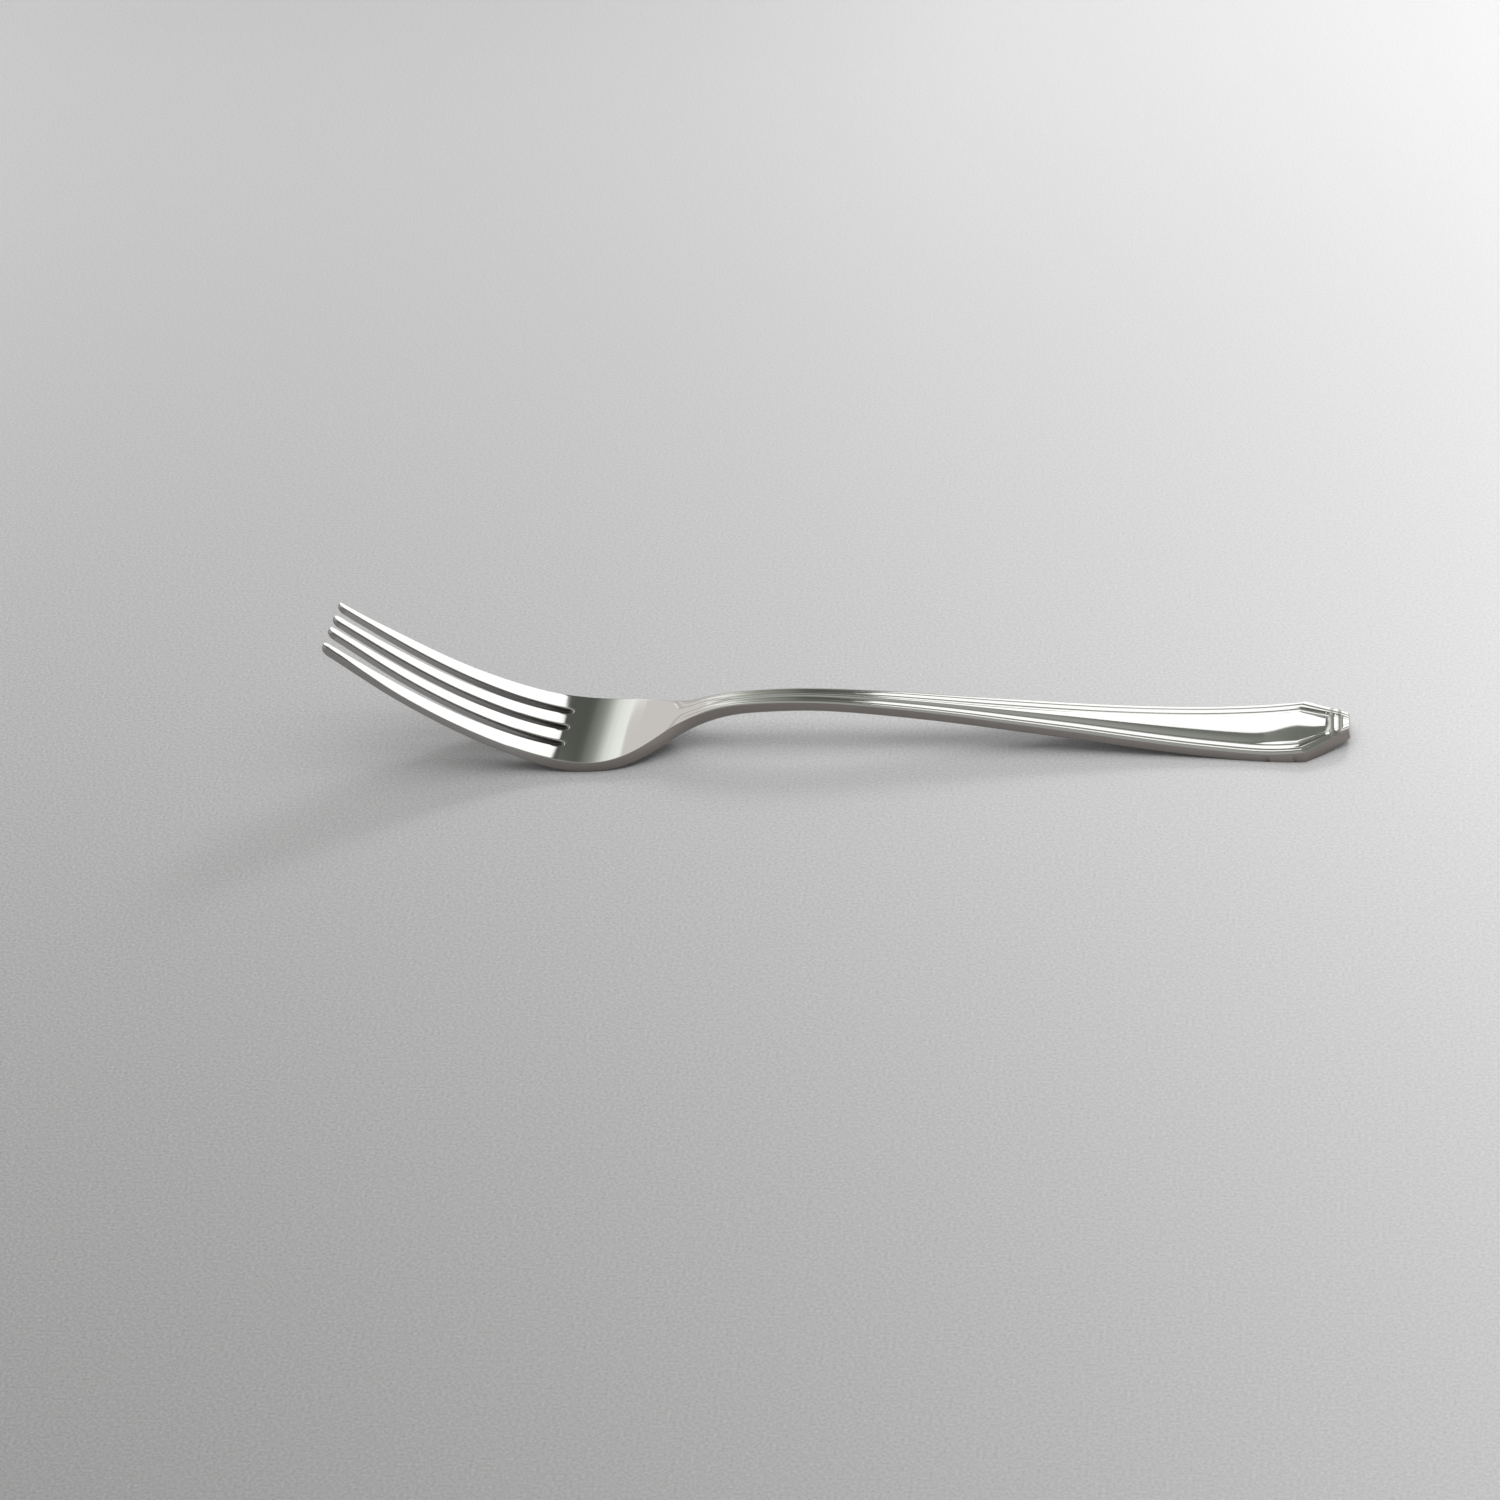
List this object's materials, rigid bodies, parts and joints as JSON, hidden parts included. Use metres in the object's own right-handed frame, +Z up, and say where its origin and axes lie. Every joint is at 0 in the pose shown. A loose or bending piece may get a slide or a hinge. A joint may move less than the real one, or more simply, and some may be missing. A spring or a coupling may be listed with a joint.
{
  "type": "dinner fork",
  "caption": "Slim polished table fork with upturned tines, an arched neck and a flat flared handle that has a threaded border and a slanted, blunt end.",
  "frame": {"origin": "centre of the fork's plan outline, at the height of the table that it lies on", "axes": "+X along the fork from the tine tips to the end of the handle, +Y across it to the right hand of someone who holds it with the tines pointing away, +Z up from the table"},
  "size_m": [0.206, 0.0264, 0.028],
  "materials": {
    "polished_steel": "mirror-polished stainless steel with fine polishing lines"
  },
  "bodies": {
    "root": {"tine_outer_left": "polished_steel", "tine_inner_left": "polished_steel", "tine_inner_right": "polished_steel", "tine_outer_right": "polished_steel", "palm": "polished_steel", "shoulder": "polished_steel", "neck": "polished_steel", "stem": "polished_steel", "grip": "polished_steel", "terminal": "polished_steel"}
  },
  "joints": []
}
